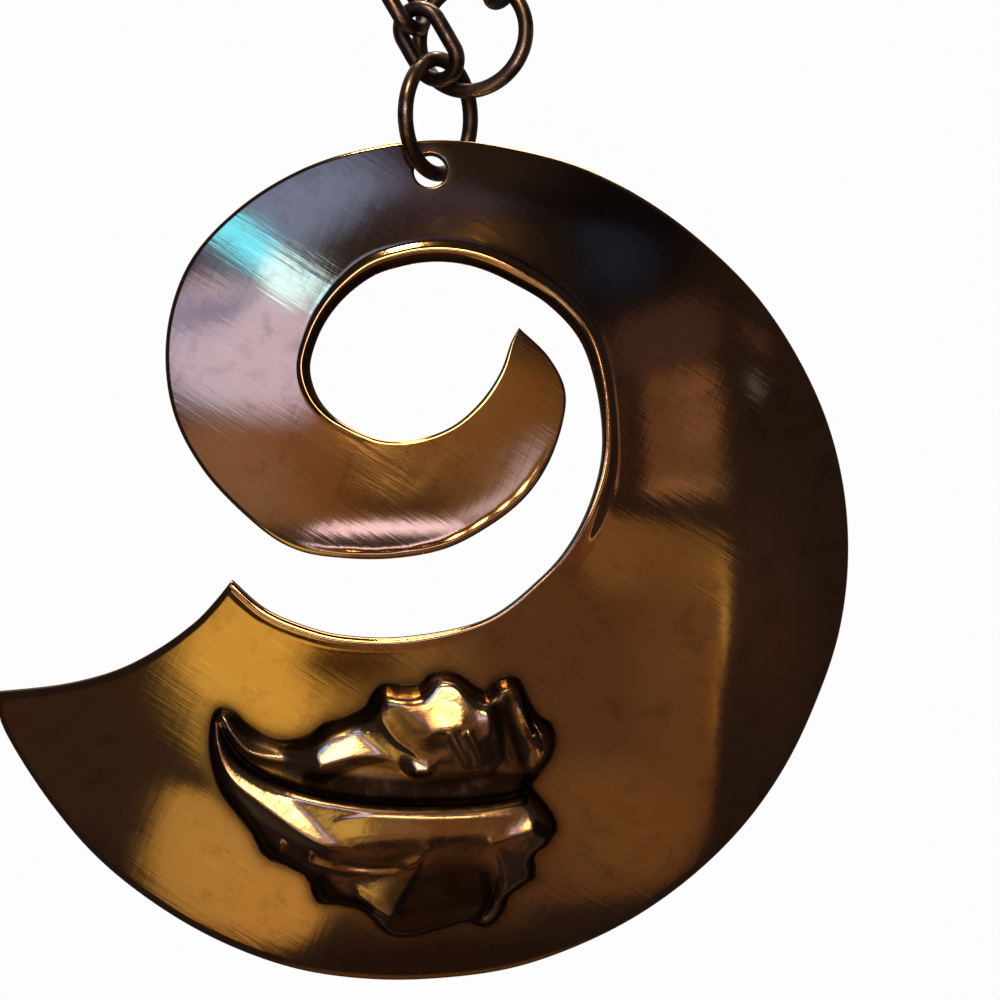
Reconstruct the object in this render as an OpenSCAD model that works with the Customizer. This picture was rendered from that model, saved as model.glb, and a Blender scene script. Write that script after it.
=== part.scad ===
// A spiral pendant of domed copper-alloy sheet with a cast leaf, hung by a jump ring from a cable chain.
// Millimetres. x runs to the wearer's left as seen from the front, y away from the viewer, z up.
// The origin is the inner side of the loop of chain at its very top, where it hangs on a neck or a peg.

/* [Plate] */
// Thickness of the domed sheet
sheet_t = 0.8; // [0.7:0.05:0.85]
// Radius of the dome's front face, which bulges towards the viewer
dome_r = 95; // [90:1:120]
// Angle by which the plate's foot hangs back, so that its weight is under the hook
lean = 6; // [4:0.5:7]
// Radius of the hole that the jump ring goes through
hole_r = 1.25; // [1.2:0.05:1.3]

/* [Leaf] */
// Scale of the leaf's relief over the sheet
leaf_relief = 1; // [0.7:0.05:1.2]

/* [Rings] */
// Diameter of the jump rings' wire
ring_wire = 1.16; // [1.1:0.02:1.16]
// Radius of a jump ring, at the middle of its wire
ring_r = 4.4; // [4.3:0.05:4.5]
// Radius of the clasp ring, at the middle of its wire
clasp_r = 2.9; // [2.8:0.05:3.1]
// Diameter of the clasp ring's wire
clasp_wire = 1.4; // [1.3:0.05:1.4]

/* [Chain] */
// Length of the whole loop, along its middle
loop_len = 457; // [400:1:500]
// Half the angle between the two strands at the pendant
strand_angle = 30; // [28:1:32]
// Diameter of the links' wire
link_wire = 1.2; // [1.14:0.02:1.2]
// Length of a link over its wire
link_len = 7.04; // [6.9:0.02:7.2]
// Width of a link over its wire
link_w = 4.7; // [4.6:0.02:4.8]

/* [Hidden] */
// Clearances between rings that hang in each other, and between one link and the next
hook_gap = 0.35;
link_gap = 0.16;
// The jump ring's turn about the vertical, and where it holds things, as angles round it from its top
ring_turn = 56;
end_ring_at = 35;
first_link_at = 6;
hole_at = 194;
// Turns of the end ring and of the first link on each side, about their strand
end_ring_roll = 155;
left_roll = 30;
right_roll = end_ring_roll - 90;
// The dome's top and the hole, on the plate's own drawing
dome_x = -1.5;
dome_z = 0;
hole_x = -0.9;
hole_z = 30;
// How much taller the drawing is made, downwards from the hole
draw_tall = 1.011;

up = [0, 0, 1];
front = [0, -1, 0];
ring_wr = ring_wire / 2;
link_wr = link_wire / 2;
clasp_wr = clasp_wire / 2;
// Half of a link's length and width at the middle of its wire
link_hl = link_len / 2 - link_wr;
link_hw = link_w / 2 - link_wr;

// The spiral's outline, drawn about the middle of the plate: [x, z]
// Outer edge, from the tip of the wide end, round the foot, the right and the top, to the tip of the coil
outer_edge = [
    [-34.7, -9.9], [-33.95, -12.7], [-30.8, -17.8], [-26.9, -22.5], [-22.15, -26.35], [-17.0, -29.3],
    [-11.4, -31.3], [-5.6, -32.1], [0, -32.0], [5.5, -31.2], [10.7, -29.4], [15.5, -26.9], [19.9, -23.6],
    [23.6, -19.8], [26.6, -15.4], [28.9, -10.5], [30.6, -5.4], [31.3, 0], [31.0, 5.5], [29.7, 10.8],
    [27.4, 15.8], [24.3, 20.4], [20.4, 24.3], [16.0, 27.6], [11.0, 30.2], [5.6, 31.7], [0, 32.4],
    [-5.6, 31.8], [-10.9, 30.1], [-15.7, 27.1], [-19.4, 23.0], [-21.1, 17.7], [-20.7, 12.0],
    [-18.2, 7.1], [-14.1, 2.95], [-11.0, 1.1], [-7.4, 0.5], [-3.6, 0.5], [0.2, 1.2], [3.4, 2.8],
    [6.2, 4.95], [8.1, 7.6], [9.25, 10.8], [9.4, 13.4], [8.1, 15.9], [5.9, 18.0]
];
// Inner edge, from the tip of the coil, round the eye and down the gap, to the corner of the wide end
inner_edge = [
    [5.9, 18.0], [5.3, 16.9], [4.6, 14.9], [3.6, 13.2], [2.4, 11.8], [1.0, 10.65], [-0.7, 9.85], [-2.7, 9.4],
    [-4.7, 9.5], [-6.6, 10.2], [-8.4, 11.4], [-9.6, 13.0], [-10.1, 15.0], [-9.6, 17.1], [-8.6, 19.0],
    [-7.1, 20.7], [-5.1, 22.1], [-2.9, 22.8], [-0.9, 23.1], [1.2, 23.0], [3.2, 22.5], [5.4, 21.5],
    [8.2, 19.8], [10.6, 17.1], [11.9, 13.2], [12.3, 9.0], [11.6, 5.4], [10.0, 1.9], [7.6, -1.0],
    [3.3, -4.2], [-2.7, -5.5], [-7.5, -5.4], [-11.0, -4.5], [-13.8, -3.2], [-16.1, -1.2]
];
// The wide end's hollow curve
wide_end = [
    [-16.1, -1.2], [-17.5, -2.9], [-19.1, -4.5], [-21.9, -6.5], [-25.3, -8.2], [-29.5, -9.3], [-34.7, -9.9]
];
edge_steps = 3;

// Half of the leaf above its midrib, and half below: [x, z of the leaf's edge, z at the midrib, crest height]
leaf_upper = [
    [-17.7, -11.5, -13.0, 0.3], [-17.0, -11.1, -13.6, 0.9], [-16.0, -11.8, -14.0, 1.1],
    [-15.0, -13.2, -14.5, 0.9], [-13.4, -14.1, -15.2, 0.8], [-11.7, -14.0, -15.9, 1.1],
    [-10.0, -13.4, -16.3, 1.6], [-8.0, -12.3, -16.8, 2.0], [-6.2, -11.3, -17.1, 1.9],
    [-4.6, -9.4, -17.3, 2.4], [-2.4, -9.2, -17.4, 2.9], [-0.5, -8.5, -17.4, 2.8], [1.4, -9.1, -17.4, 2.6],
    [2.9, -9.7, -17.3, 2.2], [4.4, -8.6, -17.2, 2.4], [5.9, -9.9, -17.1, 2.2], [7.2, -11.7, -16.3, 1.8],
    [8.3, -13.0, -14.6, 0.3]
];
leaf_lower = [
    [-17.8, -15.6, -13.2, 0.4], [-16.8, -17.6, -13.8, 1.4], [-15.4, -19.3, -14.4, 2.2],
    [-13.8, -21.5, -15.0, 2.5], [-12.0, -23.1, -15.7, 2.5], [-10.4, -24.6, -16.2, 2.4],
    [-9.4, -25.5, -16.5, 2.4], [-7.6, -25.9, -16.9, 2.3], [-5.8, -26.8, -17.2, 2.4],
    [-4.0, -28.2, -17.4, 2.3], [-1.8, -27.8, -17.5, 2.2], [1.0, -27.6, -17.5, 2.1], [3.0, -27.4, -17.5, 2.0],
    [4.6, -25.1, -17.5, 1.9], [6.4, -24.6, -17.5, 1.7], [7.2, -22.3, -17.6, 1.5], [8.2, -20.9, -18.2, 1.1],
    [8.6, -19.6, -18.9, 0.3]
];
// The leaf's profile from its edge to its midrib: [share of the way, share of the crest height]
leaf_profile = [
    [0, -0.06], [0.07, 0.45], [0.18, 0.82], [0.34, 1], [0.52, 0.92], [0.7, 0.74], [0.85, 0.48], [1, 0.16]
];

function unit(v) = v / norm(v);

// A smooth curve through every point of a list, with edge_steps points on each stretch
function through(p) = [
    for (i = [0 : len(p) - 2], k = [0 : edge_steps - 1])
        let (
            t = k / edge_steps,
            a = p[max(i - 1, 0)],
            b = p[i],
            c = p[i + 1],
            d = p[min(i + 2, len(p) - 1)]
        )
        b + (c - a) * t / 2 + (2 * a - 5 * b + 4 * c - d) * t * t / 2 + (3 * b - a - 3 * c + d) * t * t * t / 2
];

// Depth of the plate's front face at a place on the drawing, and the middle of the dome's sphere
function face_y(x, z) = dome_r - sqrt(dome_r * dome_r - pow(x - dome_x, 2) - pow(z - dome_z, 2));
// A height on the drawing as it has to be cut, so that the leaning plate shows the drawing from the front
function cut_z(x, z) =
    hole_z + (z - hole_z) * draw_tall + (face_y(hole_x, hole_z) - face_y(x, z)) * tan(lean);
dome_centre = [dome_x, dome_r, dome_z];
// The hole's middle, in the sheet's thickness, and the direction in which it goes through
hole_ray = unit([hole_x, face_y(hole_x, hole_z), hole_z] - dome_centre);
hole_mid = dome_centre + (dome_r - sheet_t / 2) * hole_ray;

// Points of the jump ring about its middle, at an angle from its top, and what hangs in it there
ring_dir = [cos(ring_turn), sin(ring_turn), 0];
function on_ring(a) = ring_r * (sin(a) * ring_dir + cos(a) * up);
function ring_tangent(a) = cos(a) * ring_dir - sin(a) * up;
function inside_ring(a, wire_r, pull) =
    let (t = ring_tangent(a))
    on_ring(a) - (ring_wr + wire_r + hook_gap) * unit(pull - (pull * t) * t);
pull_left = [-sin(strand_angle), 0, cos(strand_angle)];
pull_right = [sin(strand_angle), 0, cos(strand_angle)];
left_hook = inside_ring(first_link_at, link_wr, pull_left);
right_hook = inside_ring(end_ring_at, ring_wr, pull_right);
// Where the two strands' lines would meet, seen from the front, about the jump ring's middle
meet_x = (right_hook.x + left_hook.x - (right_hook.z - left_hook.z) * tan(strand_angle)) / 2;
meet_z = right_hook.z - (right_hook.x - meet_x) / tan(strand_angle);

// The loop: an arc over the neck and two straight strands down to the meeting point
neck_r = loop_len / (PI + 2 * strand_angle * PI / 180 + 2 / tan(strand_angle));
strand_len = neck_r / tan(strand_angle);
neck_turn = 180 + 2 * strand_angle;
loop_top = link_hw + link_wr + 0.4;
meet_height = loop_top - neck_r - neck_r / sin(strand_angle);
function neck_angle(s) = 180 + strand_angle - min(max((s - strand_len) / neck_r * 180 / PI, 0), neck_turn);
// The loop's direction, its inward side and its place, at a distance s along it from the left hook side
function along(s) = [sin(neck_angle(s)), 0, -cos(neck_angle(s))];
function inward(s) = [-cos(neck_angle(s)), 0, -sin(neck_angle(s))];
left_y = (left_hook.y - right_hook.y) / 2;
function place(s) =
    let (
        arc = [0, 0, loop_top - neck_r] - neck_r * inward(s),
        before = min(s - strand_len, 0),
        after = max(s - loop_len + strand_len, 0)
    )
    arc + (before + after) * along(s) + [0, left_y * (1 - 2 * s / loop_len), 0];
ring_mid = [-meet_x, -(left_hook.y + right_hook.y) / 2, meet_height - meet_z];
hole_place = ring_mid + on_ring(hole_at);

// Distances along the loop: the first link on the left, the end ring and the first link on the right
left_first = (left_hook.z - meet_z) / cos(strand_angle) + link_hl;
ring_first = (right_hook.z - meet_z) / cos(strand_angle) + ring_r;
right_first = ring_first + ring_r - ring_wr - link_wr - link_gap + link_hl;
clasp_step = clasp_r - clasp_wr - link_wr - link_gap + link_hl;
max_pitch = 2 * (link_hl - link_wr) - link_gap;
// Each side has an even number of links, so that both of its ends lie the same way
function link_count(first) = 2 * ceil(((loop_len / 2 - clasp_step - first) / max_pitch + 1) / 2);
function pitch(first) = (loop_len / 2 - clasp_step - first) / (link_count(first) - 1);

// Puts children, drawn along x with their flat side across y, at a distance along the loop
module on_loop(s, roll) {
    u = along(s);
    w = cos(roll) * inward(s) + sin(roll) * front;
    n = cross(u, w);
    o = place(s);
    multmatrix([
        [u.x, w.x, n.x, o.x],
        [u.y, w.y, n.y, o.y],
        [u.z, w.z, n.z, o.z],
        [0, 0, 0, 1]
    ]) children();
}

module wire_ring(r, wire_r) {
    rotate_extrude($fn = 48) translate([r, 0]) circle(r = wire_r, $fn = 20);
}

// An oval link: two half rings and two straight bars
module link() {
    bar = link_hl - link_hw;
    for (side = [-1, 1]) {
        translate([side * bar, 0, 0]) rotate([0, 0, side * 90 - 180])
            rotate_extrude(angle = 180, $fn = 32) translate([link_hw, 0]) circle(r = link_wr, $fn = 16);
        translate([-bar, side * link_hw, 0]) rotate([0, 90, 0])
            cylinder(r = link_wr, h = 2 * bar, $fn = 16);
    }
}

// One half of the leaf, from its table: a relief that starts inside the sheet
module leaf_half(rows) {
    n = len(rows);
    m = len(leaf_profile);
    points = [
        for (side = [0, 1], row = rows, step = leaf_profile)
            let (
                x = row[0],
                z = cut_z(x, row[1] + (row[2] - row[1]) * step[0]),
                rise = leaf_relief * row[3] * step[1]
            )
            [x, face_y(x, z) + (side == 0 ? -rise : sheet_t / 2), z]
    ];
    function at(side, i, j) = side * n * m + i * m + j;
    skin = [
        for (side = [0, 1], i = [0 : n - 2], j = [0 : m - 2], half = [0, 1])
            let (
                a = at(side, i, j),
                b = at(side, i + 1, j),
                c = at(side, i + 1, j + 1),
                d = at(side, i, j + 1),
                face = half == 0 ? [a, b, c] : [a, c, d]
            )
            side == 0 ? face : [face[2], face[1], face[0]]
    ];
    long_sides = [
        for (i = [0 : n - 2], j = [0, m - 1], half = [0, 1])
            let (
                a = at(0, i, j),
                b = at(0, i + 1, j),
                c = at(1, i + 1, j),
                d = at(1, i, j),
                face = half == 0 ? [a, b, c] : [a, c, d]
            )
            j == 0 ? [face[2], face[1], face[0]] : face
    ];
    ends = [
        for (i = [0, n - 1], j = [0 : m - 2], half = [0, 1])
            let (
                a = at(0, i, j),
                b = at(0, i, j + 1),
                c = at(1, i, j + 1),
                d = at(1, i, j),
                face = half == 0 ? [a, b, c] : [a, c, d]
            )
            i == 0 ? face : [face[2], face[1], face[0]]
    ];
    flipped = rows[0][1] < rows[0][2];
    faces = concat(skin, long_sides, ends);
    polyhedron(points, flipped ? [for (f = faces) [f[2], f[1], f[0]]] : faces);
}

module sheet() {
    drawing = concat(through(outer_edge), through(inner_edge), through(wide_end));
    outline = [for (p = drawing) [p[0], cut_z(p[0], p[1])]];
    difference() {
        intersection() {
            difference() {
                translate(dome_centre) sphere(r = dome_r, $fn = 180);
                translate(dome_centre) sphere(r = dome_r - sheet_t, $fn = 180);
            }
            translate([0, 12, 0]) rotate([90, 0, 0]) linear_extrude(13) polygon(outline);
        }
        translate(hole_mid) rotate([0, acos(hole_ray.z), atan2(hole_ray.y, hole_ray.x)])
            cylinder(r = hole_r, h = 4 * sheet_t, center = true, $fn = 48);
    }
}

module spiral_plate() {
    color([0.55, 0.36, 0.16])
        translate(hole_place) rotate([lean, 0, 0]) translate(-hole_mid) {
            sheet();
            leaf_half(leaf_upper);
            leaf_half(leaf_lower);
        }
}

module jump_ring() {
    color([0.48, 0.38, 0.27])
        translate(ring_mid) rotate([90, 0, ring_turn]) wire_ring(ring_r, ring_wr);
}

module end_ring() {
    color([0.48, 0.38, 0.27]) on_loop(loop_len - ring_first, end_ring_roll) wire_ring(ring_r, ring_wr);
}

module chain_left() {
    color([0.42, 0.33, 0.24])
        for (i = [0 : link_count(left_first) - 1])
            on_loop(left_first + i * pitch(left_first), left_roll + 90 * i) link();
}

module chain_right() {
    color([0.42, 0.33, 0.24])
        for (i = [0 : link_count(right_first) - 1])
            on_loop(loop_len - right_first - i * pitch(right_first), right_roll + 90 * i) link();
}

module clasp() {
    color([0.45, 0.35, 0.25]) on_loop(loop_len / 2, (left_roll + right_roll) / 2) wire_ring(clasp_r, clasp_wr);
}

spiral_plate();
jump_ring();
end_ring();
chain_left();
chain_right();
clasp();
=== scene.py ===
"""Looks of a spiral pendant: a domed plate with a cast leaf, two rings and a loop of cable chain.

Shapes are worked out in millimetres and become metres when they go into a mesh.
"""
import math

import bmesh
import bpy
import numpy as np
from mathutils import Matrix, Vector


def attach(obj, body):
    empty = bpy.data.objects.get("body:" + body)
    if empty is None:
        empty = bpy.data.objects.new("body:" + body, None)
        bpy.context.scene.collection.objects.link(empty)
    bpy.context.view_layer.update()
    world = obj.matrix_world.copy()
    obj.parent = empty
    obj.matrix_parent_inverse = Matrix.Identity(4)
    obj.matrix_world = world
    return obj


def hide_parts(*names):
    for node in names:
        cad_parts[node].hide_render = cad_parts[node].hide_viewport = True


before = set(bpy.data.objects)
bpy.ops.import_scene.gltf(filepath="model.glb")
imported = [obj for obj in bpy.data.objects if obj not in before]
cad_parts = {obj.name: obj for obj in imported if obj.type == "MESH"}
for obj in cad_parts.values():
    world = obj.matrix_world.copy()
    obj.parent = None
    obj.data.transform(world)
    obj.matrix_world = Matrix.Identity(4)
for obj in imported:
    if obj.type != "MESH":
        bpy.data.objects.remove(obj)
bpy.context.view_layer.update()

MM_IN_M = 1000

# Sizes of the part, in millimetres and radians. Wires and rings are given by their radii
SHEET_T = 0.8
DOME_R = 95.0
LEAN = math.radians(6)
HOLE_R = 1.25
RING_WIRE, RING_R = 0.58, 4.4
CLASP_WIRE, CLASP_R = 0.7, 2.9
LINK_WIRE, LINK_HALF, LINK_SIDE = 0.6, 2.92, 1.75
LOOP_LEN = 457.0
STRAND = math.radians(30)
HOOK_GAP, LINK_GAP, NECK_GAP = 0.35, 0.16, 0.4
RING_TURN, END_RING_AT, FIRST_LINK_AT, HOLE_AT = np.radians([56.0, 35.0, 6.0, 194.0])
END_RING_ROLL, LEFT_ROLL, RIGHT_ROLL = np.radians([155.0, 30.0, 65.0])
DOME_MID = np.array([-1.5, DOME_R, 0.0])
HOLE_XZ = np.array([-0.9, 30.0])
# How much taller than the drawing the leaning plate is cut
DRAW_TALL = 1.011
UP = np.array([0.0, 0.0, 1.0])
FRONT = np.array([0.0, -1.0, 0.0])

# The view: width of the sensor, and of the picture at the plate, the camera's distance, and what it looks at
SENSOR_WIDTH = 36.0
VIEW_WIDTH = 76.74
CAMERA_FAR = 550.0
LOOK_AT = np.array([4.0, 0.0, -208.8])


def make_camera():
    """A long lens straight in front of the plate, whose length is the sensor's width times the distance over
    the width of the picture there."""
    lens = bpy.data.cameras.new("camera")
    lens.sensor_width = SENSOR_WIDTH
    lens.lens = SENSOR_WIDTH * CAMERA_FAR / VIEW_WIDTH
    lens.clip_start, lens.clip_end = 0.01, 50.0
    camera = bpy.data.objects.new("camera", lens)
    camera.location = (LOOK_AT + CAMERA_FAR * FRONT) / MM_IN_M
    camera.rotation_euler = (math.pi / 2, 0.0, 0.0)
    bpy.context.scene.collection.objects.link(camera)
    bpy.context.scene.camera = camera


make_camera()


# Curves and placing

def unit(v):
    """Each vector divided by its length."""
    return v / np.linalg.norm(v, axis=-1, keepdims=True)


def ramp(x, start, end):
    """Smooth step: 0 before start, 1 after end, cubic between."""
    t = np.clip((x - start) / (end - start), 0.0, 1.0)
    return t * t * (3 - 2 * t)


def between(x, rise_start, rise_end, fall_start, fall_end):
    """Rises from 0 to 1 over the first pair of values and falls back to 0 over the second pair."""
    return ramp(x, rise_start, rise_end) * (1 - ramp(x, fall_start, fall_end))


def through(knots, steps, closed=False):
    """Smooth curve through the knots: on each stretch the cubic whose slope at a knot is half the chord
    between the knot's two neighbours."""
    p = np.asarray(knots, float)
    n = len(p)
    around = np.arange(n if closed else n - 1)[:, None] + np.arange(-1, 3)
    around = around % n if closed else np.clip(around, 0, n - 1)
    a, b, c, d = (p[around[:, k]][:, None, :] for k in range(4))
    t = (np.arange(steps) / steps)[None, :, None]
    curve = b + (c - a) * t / 2 + (2 * a - 5 * b + 4 * c - d) * t**2 / 2
    curve = curve + (3 * b - a - 3 * c + d) * t**3 / 2
    curve = curve.reshape(-1, p.shape[1])
    return curve if closed else np.vstack([curve, p[-1:]])


def face_depth(x, z):
    """How far the dome's front face lies behind its foremost point: its radius less the root of the radius
    squared less the squares of both offsets."""
    return DOME_R - np.sqrt(DOME_R**2 - (x - DOME_MID[0]) ** 2 - (z - DOME_MID[2]) ** 2)


def as_cut(knots):
    """Points of the drawing as they have to be cut, so that the leaning plate shows the drawing from the
    front: heights over the hole are stretched, and the dome's depth times the lean's tangent is added."""
    x, z = np.moveaxis(np.asarray(knots, float), -1, 0)
    lift = (face_depth(*HOLE_XZ) - face_depth(x, z)) * math.tan(LEAN)
    return np.stack([x, HOLE_XZ[1] + (z - HOLE_XZ[1]) * DRAW_TALL + lift], -1)


def dome_ray(x, z):
    """Unit ray from the dome's middle to the front face at (x, z) of the drawing: both offsets and the depth
    that makes their length the dome's radius, over that radius."""
    y = -np.sqrt(DOME_R**2 - (x - DOME_MID[0]) ** 2 - (z - DOME_MID[2]) ** 2)
    return np.stack([x - DOME_MID[0], y, z - DOME_MID[2]], -1) / DOME_R


def on_ring(a):
    """Point at angle a on the jump ring's middle line: its radius times the sine along, the cosine up."""
    return RING_R * (math.sin(a) * RING_DIR + math.cos(a) * UP)


def inside_ring(a, wire, pull):
    """Middle of a wire that hangs inside the jump ring at angle a: the two wires' radii and a gap off the
    ring's middle line, against the part of the pull that is square to the ring."""
    along_ring = math.cos(a) * RING_DIR - math.sin(a) * UP
    return on_ring(a) - (RING_WIRE + wire + HOOK_GAP) * unit(pull - pull.dot(along_ring) * along_ring)


RING_DIR = np.array([math.cos(RING_TURN), math.sin(RING_TURN), 0.0])
PULL = np.array([math.sin(STRAND), 0.0, math.cos(STRAND)])
LEFT_HOOK = inside_ring(FIRST_LINK_AT, LINK_WIRE, PULL * [-1, 1, 1])
RIGHT_HOOK = inside_ring(END_RING_AT, RING_WIRE, PULL)
MEET_X = (RIGHT_HOOK[0] + LEFT_HOOK[0] - (RIGHT_HOOK[2] - LEFT_HOOK[2]) * math.tan(STRAND)) / 2
MEET_Z = RIGHT_HOOK[2] - (RIGHT_HOOK[0] - MEET_X) / math.tan(STRAND)
NECK_R = LOOP_LEN / (math.pi + 2 * STRAND + 2 / math.tan(STRAND))
STRAND_LEN = NECK_R / math.tan(STRAND)
LOOP_TOP = LINK_SIDE + LINK_WIRE + NECK_GAP
MEET_HEIGHT = LOOP_TOP - NECK_R - NECK_R / math.sin(STRAND)
RING_MID = np.array([-MEET_X, -(LEFT_HOOK[1] + RIGHT_HOOK[1]) / 2, MEET_HEIGHT - MEET_Z])
HOLE_PLACE = RING_MID + on_ring(HOLE_AT)
HOLE_MID = DOME_MID + (DOME_R - SHEET_T / 2) * dome_ray(*HOLE_XZ)
LEANED = np.array([[1, 0, 0], [0, math.cos(LEAN), math.sin(LEAN)], [0, -math.sin(LEAN), math.cos(LEAN)]])


def on_plate(x, z, depth):
    """Place on the hung plate: along the dome's ray through (x, z), at a depth below the front face, then
    turned by the lean about the hole and moved to where the hole hangs."""
    p = DOME_MID + (DOME_R - np.asarray(depth, float))[..., None] * dome_ray(x, z)
    return (p - HOLE_MID) @ LEANED + HOLE_PLACE


def loop_frame(s, roll):
    """Place, direction, side and normal of a link at distance s along the loop, turned about it by roll.
    The loop is a straight strand, an arc of radius NECK_R round the neck and a second straight strand."""
    turn = math.pi + STRAND - np.clip((s - STRAND_LEN) / NECK_R, 0, math.pi + 2 * STRAND)
    zero = np.zeros_like(turn)
    direction = np.stack([np.sin(turn), zero, -np.cos(turn)], -1)
    inward = np.stack([-np.cos(turn), zero, -np.sin(turn)], -1)
    straight = np.minimum(s - STRAND_LEN, 0) + np.maximum(s - LOOP_LEN + STRAND_LEN, 0)
    place = np.array([0, 0, LOOP_TOP - NECK_R]) - NECK_R * inward + straight[:, None] * direction
    place[:, 1] += (LEFT_HOOK[1] - RIGHT_HOOK[1]) / 2 * (1 - 2 * s / LOOP_LEN)
    side = np.cos(roll)[:, None] * inward + np.sin(roll)[:, None] * FRONT
    return place, direction, side, np.cross(direction, side)


# Meshes

def grid_faces(rows, columns, wrap_rows=False, wrap_columns=False):
    """Four-sided faces of a grid whose points are numbered row by row: each joins a point, the next one in
    its column, the next one over and the next in its row."""
    row = np.arange(rows if wrap_rows else rows - 1)
    column = np.arange(columns if wrap_columns else columns - 1)
    i, j = np.meshgrid(row, column, indexing="ij")
    k, m = (i + 1) % rows, (j + 1) % columns
    return np.stack([i * columns + j, k * columns + j, k * columns + m, i * columns + m], -1).reshape(-1, 4)


def make_piece(name, points, faces, body, finish, stands_for, marks):
    """Puts points (millimetres) and four-sided faces into a mesh with its marks, a number for each point,
    joins doubles, turns the faces out and shades it smooth."""
    mesh = bpy.data.meshes.new(name)
    mesh.vertices.add(len(points))
    mesh.vertices.foreach_set("co", (points / MM_IN_M).astype(np.float32).ravel())
    mesh.loops.add(4 * len(faces))
    mesh.loops.foreach_set("vertex_index", faces.astype(np.int32).ravel())
    mesh.polygons.add(len(faces))
    mesh.polygons.foreach_set("loop_start", 4 * np.arange(len(faces), dtype=np.int32))
    mesh.update(calc_edges=True)
    for mark_name, values in marks.items():
        attribute = mesh.attributes.new(mark_name, "FLOAT", "POINT")
        attribute.data.foreach_set("value", values.astype(np.float32).ravel())
    work = bmesh.new()
    work.from_mesh(mesh)
    bmesh.ops.remove_doubles(work, verts=work.verts, dist=2e-7)
    bmesh.ops.dissolve_degenerate(work, edges=work.edges, dist=1e-8)
    bmesh.ops.recalc_face_normals(work, faces=work.faces)
    work.to_mesh(mesh)
    work.free()
    mesh.shade_smooth()
    mesh.materials.append(finish)
    piece = bpy.data.objects.new(name, mesh)
    bpy.context.scene.collection.objects.link(piece)
    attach(piece, body)
    if stands_for:
        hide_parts(*stands_for)


def seeded_noise(seed, shape):
    """Even random numbers from -1 to 1, the same for the same seed."""
    return np.random.default_rng(seed).uniform(-1, 1, shape)


# The plate

# The spiral's outline about the middle of the plate: [x, z]. Its points were measured along the edge in the
# photograph, on the outer edge mostly at every tenth degree, and then corrected
OUTER_EDGE = [
    [-34.7, -9.9], [-33.95, -12.7], [-30.8, -17.8], [-26.9, -22.5], [-22.15, -26.35], [-17.0, -29.3],
    [-11.4, -31.3], [-5.6, -32.1], [0, -32.0], [5.5, -31.2], [10.7, -29.4], [15.5, -26.9], [19.9, -23.6],
    [23.6, -19.8], [26.6, -15.4], [28.9, -10.5], [30.6, -5.4], [31.3, 0], [31.0, 5.5], [29.7, 10.8],
    [27.4, 15.8], [24.3, 20.4], [20.4, 24.3], [16.0, 27.6], [11.0, 30.2], [5.6, 31.7], [0, 32.4],
    [-5.6, 31.8], [-10.9, 30.1], [-15.7, 27.1], [-19.4, 23.0], [-21.1, 17.7], [-20.7, 12.0],
    [-18.2, 7.1], [-14.1, 2.95], [-11.0, 1.1], [-7.4, 0.5], [-3.6, 0.5], [0.2, 1.2], [3.4, 2.8],
    [6.2, 4.95], [8.1, 7.6], [9.25, 10.8], [9.4, 13.4], [8.1, 15.9], [5.9, 18.0],
]
INNER_EDGE = [
    [5.9, 18.0], [5.3, 16.9], [4.6, 14.9], [3.6, 13.2], [2.4, 11.8], [1.0, 10.65], [-0.7, 9.85],
    [-2.7, 9.4], [-4.7, 9.5], [-6.6, 10.2], [-8.4, 11.4], [-9.6, 13.0], [-10.1, 15.0], [-9.6, 17.1],
    [-8.6, 19.0], [-7.1, 20.7], [-5.1, 22.1], [-2.9, 22.8], [-0.9, 23.1], [1.2, 23.0], [3.2, 22.5],
    [5.4, 21.5], [8.2, 19.8], [10.6, 17.1], [11.9, 13.2], [12.3, 9.0], [11.6, 5.4], [10.0, 1.9],
    [7.6, -1.0], [3.3, -4.2], [-2.7, -5.5], [-7.5, -5.4], [-11.0, -4.5], [-13.8, -3.2], [-16.1, -1.2],
]
WIDE_END = [
    [-16.1, -1.2], [-17.5, -2.9], [-19.1, -4.5], [-21.9, -6.5], [-25.3, -8.2], [-29.5, -9.3], [-34.7, -9.9],
]
# The point that the cross lines of the band turn about, and how many lines and columns there are
TURN_ABOUT = np.array([1.0, 15.0])
CROSS_LINES, EDGE_COLUMNS, BAND_COLUMNS = 620, 14, 50
# Turning angle of the first cross line, and the share of the lines that give way to the slanting wide end
START_TURN = 225.0
SLANT_SHARE, END_SHARE = 0.12, 0.065
# Rounding of the sheet's edges, and how wide the finely divided strip along the inner edge is
EDGE_ROUND = 0.2
ROUND_STEPS = np.radians([0.0, 30.0, 60.0])
FINE_STRIP = 2.0
# Turning angles in degrees between which each of these rises, and between which it falls again
EYE_LIP = (296, 316, 552, 584)
EYE_WALL = (335, 385, 545, 578)
COIL_RIM = (585, 605, 655, 690)
# Rises of the lip round the eye, of the wide band's edge and of the coil's rim, and the drop and width of
# the wall that slopes into the eye
LIP_RISE, BAND_RISE, RIM_RISE = 0.16, 0.07, 0.05
WALL_DROP, WALL_WIDE = 0.5, 0.6
# Half size of the block of faces that makes way for the hole, and the rounding of the hole's rim
HOLE_BLOCK = 1.05
HOLE_ROUND = 0.03
# Middle and half size of the sheet's part near the leaf, and a distance that is out of reach
LEAF_MIDDLE, LEAF_REACH = np.array([-4, -18]), np.array([18, 14])
OUT_OF_REACH = 99.0
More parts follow.
